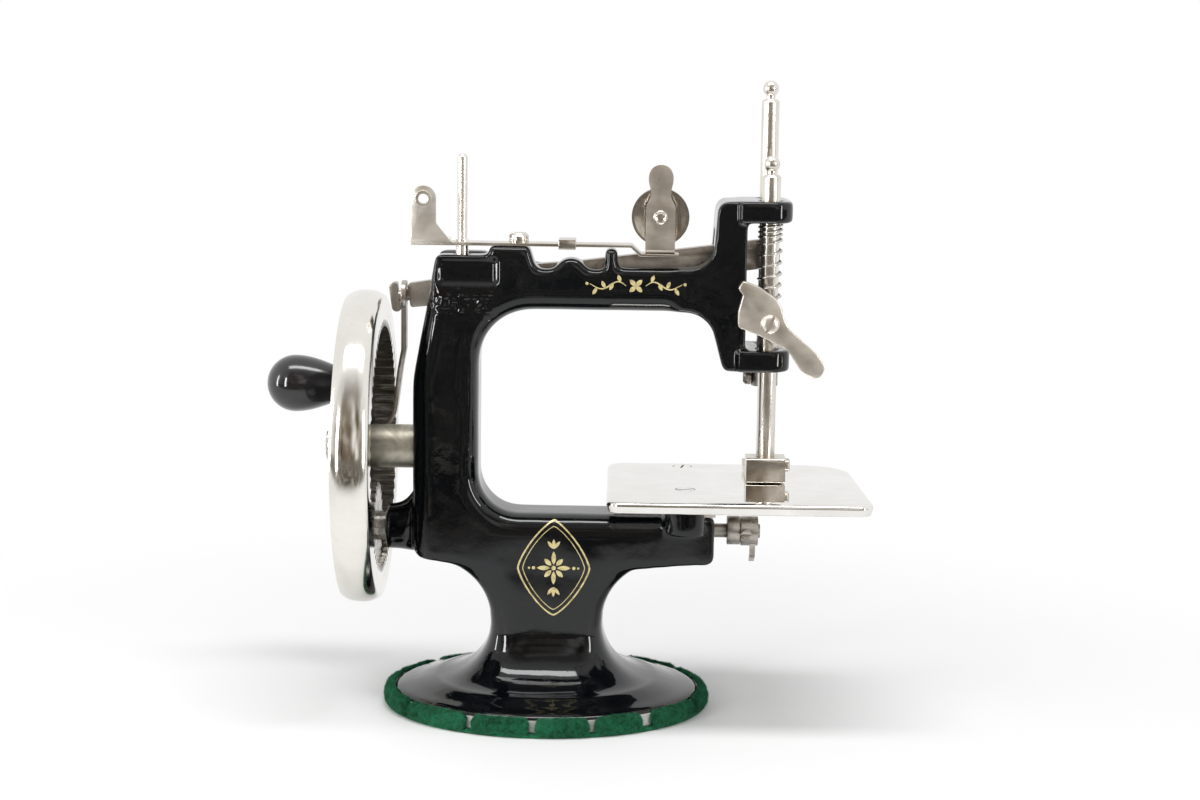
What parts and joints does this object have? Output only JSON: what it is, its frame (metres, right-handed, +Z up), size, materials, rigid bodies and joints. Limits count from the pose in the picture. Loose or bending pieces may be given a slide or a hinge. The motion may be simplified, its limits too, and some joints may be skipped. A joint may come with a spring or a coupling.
{
  "type": "toy sewing machine",
  "caption": "Hand-cranked toy sewing machine: black cast body on a felt-padded oval base, geared nickel handwheel with knob, rocking needle lever, sprung presser and cloth plate.",
  "frame": {"origin": "on the table, under the middle of the oval base", "axes": "+X along the arm towards the needle, +Y from the lifter side to the far side, +Z up"},
  "size_m": [0.1643, 0.0846, 0.1696],
  "materials": {
    "japan_black": "glossy black japan over rough casting",
    "nickel": "polished nickel plate, lightly worn",
    "steel": "dull steel",
    "black_knob": "glossy black lacquer",
    "green_felt": "matted felt",
    "pale_card": "plain pressed board"
  },
  "bodies": {
    "frame": {"body_casting": "japan_black", "felt_pad": "green_felt", "pad_core": "pale_card", "cloth_plate": "nickel", "plate_screws": "nickel", "spool_pin": "nickel", "thread_guide": "nickel", "thread_strip": "nickel", "strip_screw": "nickel", "strip_clip": "nickel", "tension_bracket": "nickel", "tension_pin": "nickel", "wheel_stud": "steel", "wheel_washer": "nickel", "wheel_screw": "nickel", "lever_pivot_screw": "steel", "feed_guide": "steel", "feed_guide_screws": "steel"},
    "wheel": {"handwheel": "nickel", "handle_stud": "steel"},
    "knob": {"handle_knob": "black_knob"},
    "shaft": {"looper_shaft": "steel", "drive_pinion": "steel", "crank_pin": "steel", "feed_cam": "steel", "looper": "steel", "looper_screw": "steel"},
    "lever": {"needle_lever": "steel"},
    "link": {"link": "steel"},
    "needle_bar_group": {"needle_bar": "nickel", "needle_bar_stud": "steel", "needle_clamp": "nickel", "needle_clamp_screw": "nickel", "needle": "nickel"},
    "presser": {"presser_bar": "nickel", "spring_collar": "steel", "presser_spring": "steel", "presser_foot": "nickel", "foot_screw": "steel", "lifter_screw": "nickel"},
    "lifter": {"lifter": "nickel"},
    "feed": {"feed_bar": "steel", "feed_dog": "nickel"},
    "tension_discs": {"tension_discs": "nickel"}
  },
  "joints": [
    {"name": "wheel_spin", "type": "hinge", "parent": "frame", "child": "wheel", "pos_m": [-0.05, 0, 0.0704], "axis": [1, 0, 0], "continuous": true},
    {"name": "knob_spin", "type": "hinge", "parent": "wheel", "child": "knob", "pos_m": [-0.068, 0.02396, 0.08368], "axis": [1, 0, 0], "continuous": true},
    {"name": "shaft_spin", "type": "hinge", "parent": "frame", "child": "shaft", "pos_m": [0, 0, 0.0484], "axis": [1, 0, 0], "continuous": true},
    {"name": "lever_rock", "type": "hinge", "parent": "frame", "child": "lever", "pos_m": [-0.0094, 0.0012, 0.1151], "axis": [0, 1, 0], "range_deg": [0, 16.5]},
    {"name": "link_swing", "type": "hinge", "parent": "lever", "child": "link", "pos_m": [-0.03914, 0.0012, 0.11118], "axis": [0, 1, 0], "range_deg": [-16.5, 0]},
    {"name": "needle_bar_slide", "type": "slide", "parent": "frame", "child": "needle_bar_group", "axis": [0, 0, -1], "range_m": [0, 0.01961]},
    {"name": "presser_lift", "type": "slide", "parent": "frame", "child": "presser", "axis": [0, 0, 1], "range_m": [0, 0.002], "deforming": ["presser_spring"]},
    {"name": "lifter_turn", "type": "hinge", "parent": "presser", "child": "lifter", "pos_m": [0.0582, -0.0118, 0.1064], "axis": [0, -1, 0], "range_deg": [0, 90]},
    {"name": "feed_slide", "type": "slide", "parent": "frame", "child": "feed", "axis": [0, 1, 0], "range_m": [-0.0012, 0.0012]},
    {"name": "disc_turn", "type": "hinge", "parent": "frame", "child": "tension_discs", "pos_m": [0.0291, -0.0064, 0.1338], "axis": [0, 1, 0], "continuous": true}
  ],
  "couplings": [
    {"joint": "shaft_spin", "follows": "wheel_spin", "ratio": 3},
    {"joint": "link_swing", "follows": "lever_rock", "ratio": -1},
    {"joint": "needle_bar_slide", "follows": "lever_rock", "m_per_rad": 0.06808},
    {"joint": "lifter_turn", "follows": "presser_lift", "rad_per_m": 785.39}
  ]
}
